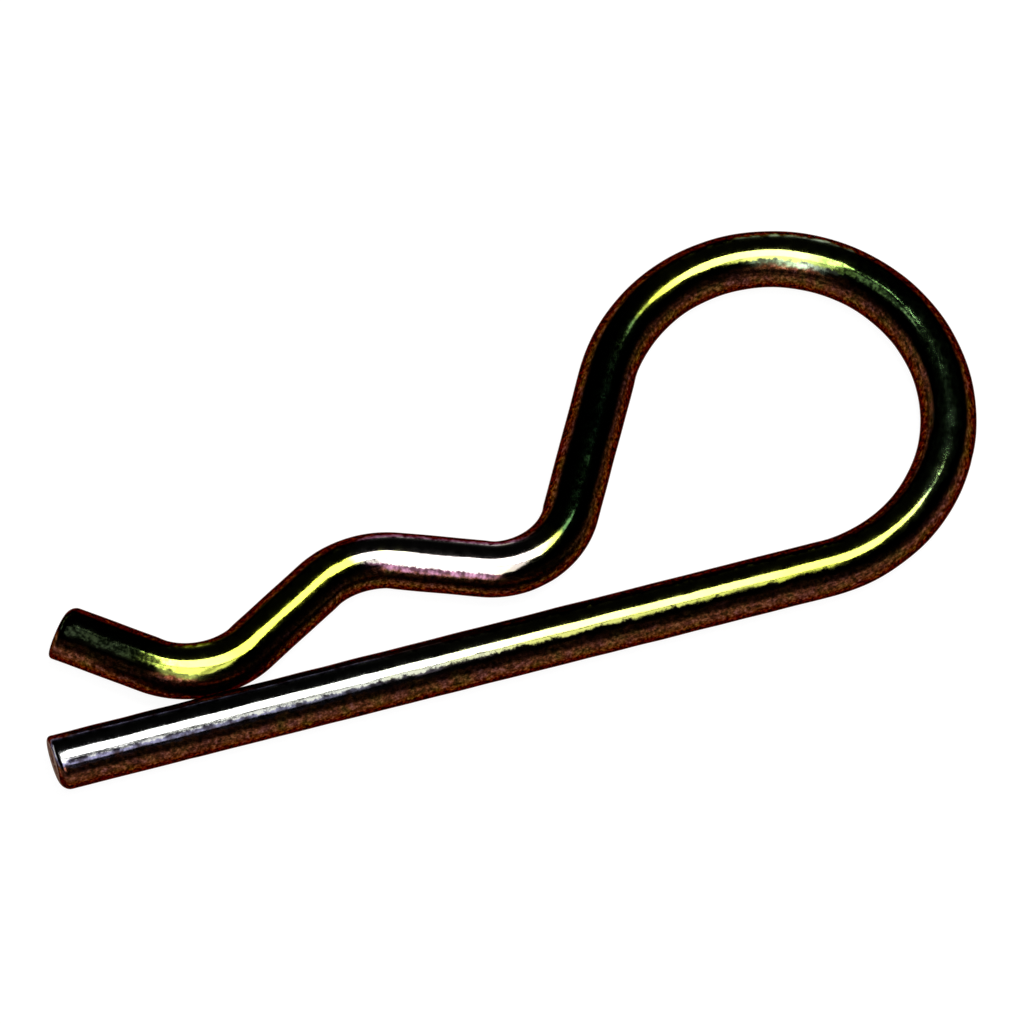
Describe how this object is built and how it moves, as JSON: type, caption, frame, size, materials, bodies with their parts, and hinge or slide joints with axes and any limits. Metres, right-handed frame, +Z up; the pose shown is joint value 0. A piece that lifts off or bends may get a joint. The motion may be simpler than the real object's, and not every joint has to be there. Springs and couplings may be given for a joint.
{
  "type": "hitch pin clip",
  "caption": "Spring wire R clip: a straight leg passes through a cross-drilled shaft, a round loop is the spring, and a humped leg with a flared tip grips the shaft's side.",
  "frame": {"origin": "on the surface that the clip lies on, under the middle of its outline", "axes": "+X along the straight leg, from its cut end towards the loop. +Y from the straight leg towards the humped leg. +Z up, square to the clip's plane"},
  "size_m": [0.0694, 0.028, 0.004],
  "materials": {
    "spring_wire": "bright drawn spring steel, plated with a yellow iridescent passivation"
  },
  "bodies": {
    "root": {"wire_clip": "spring_wire"}
  },
  "joints": []
}
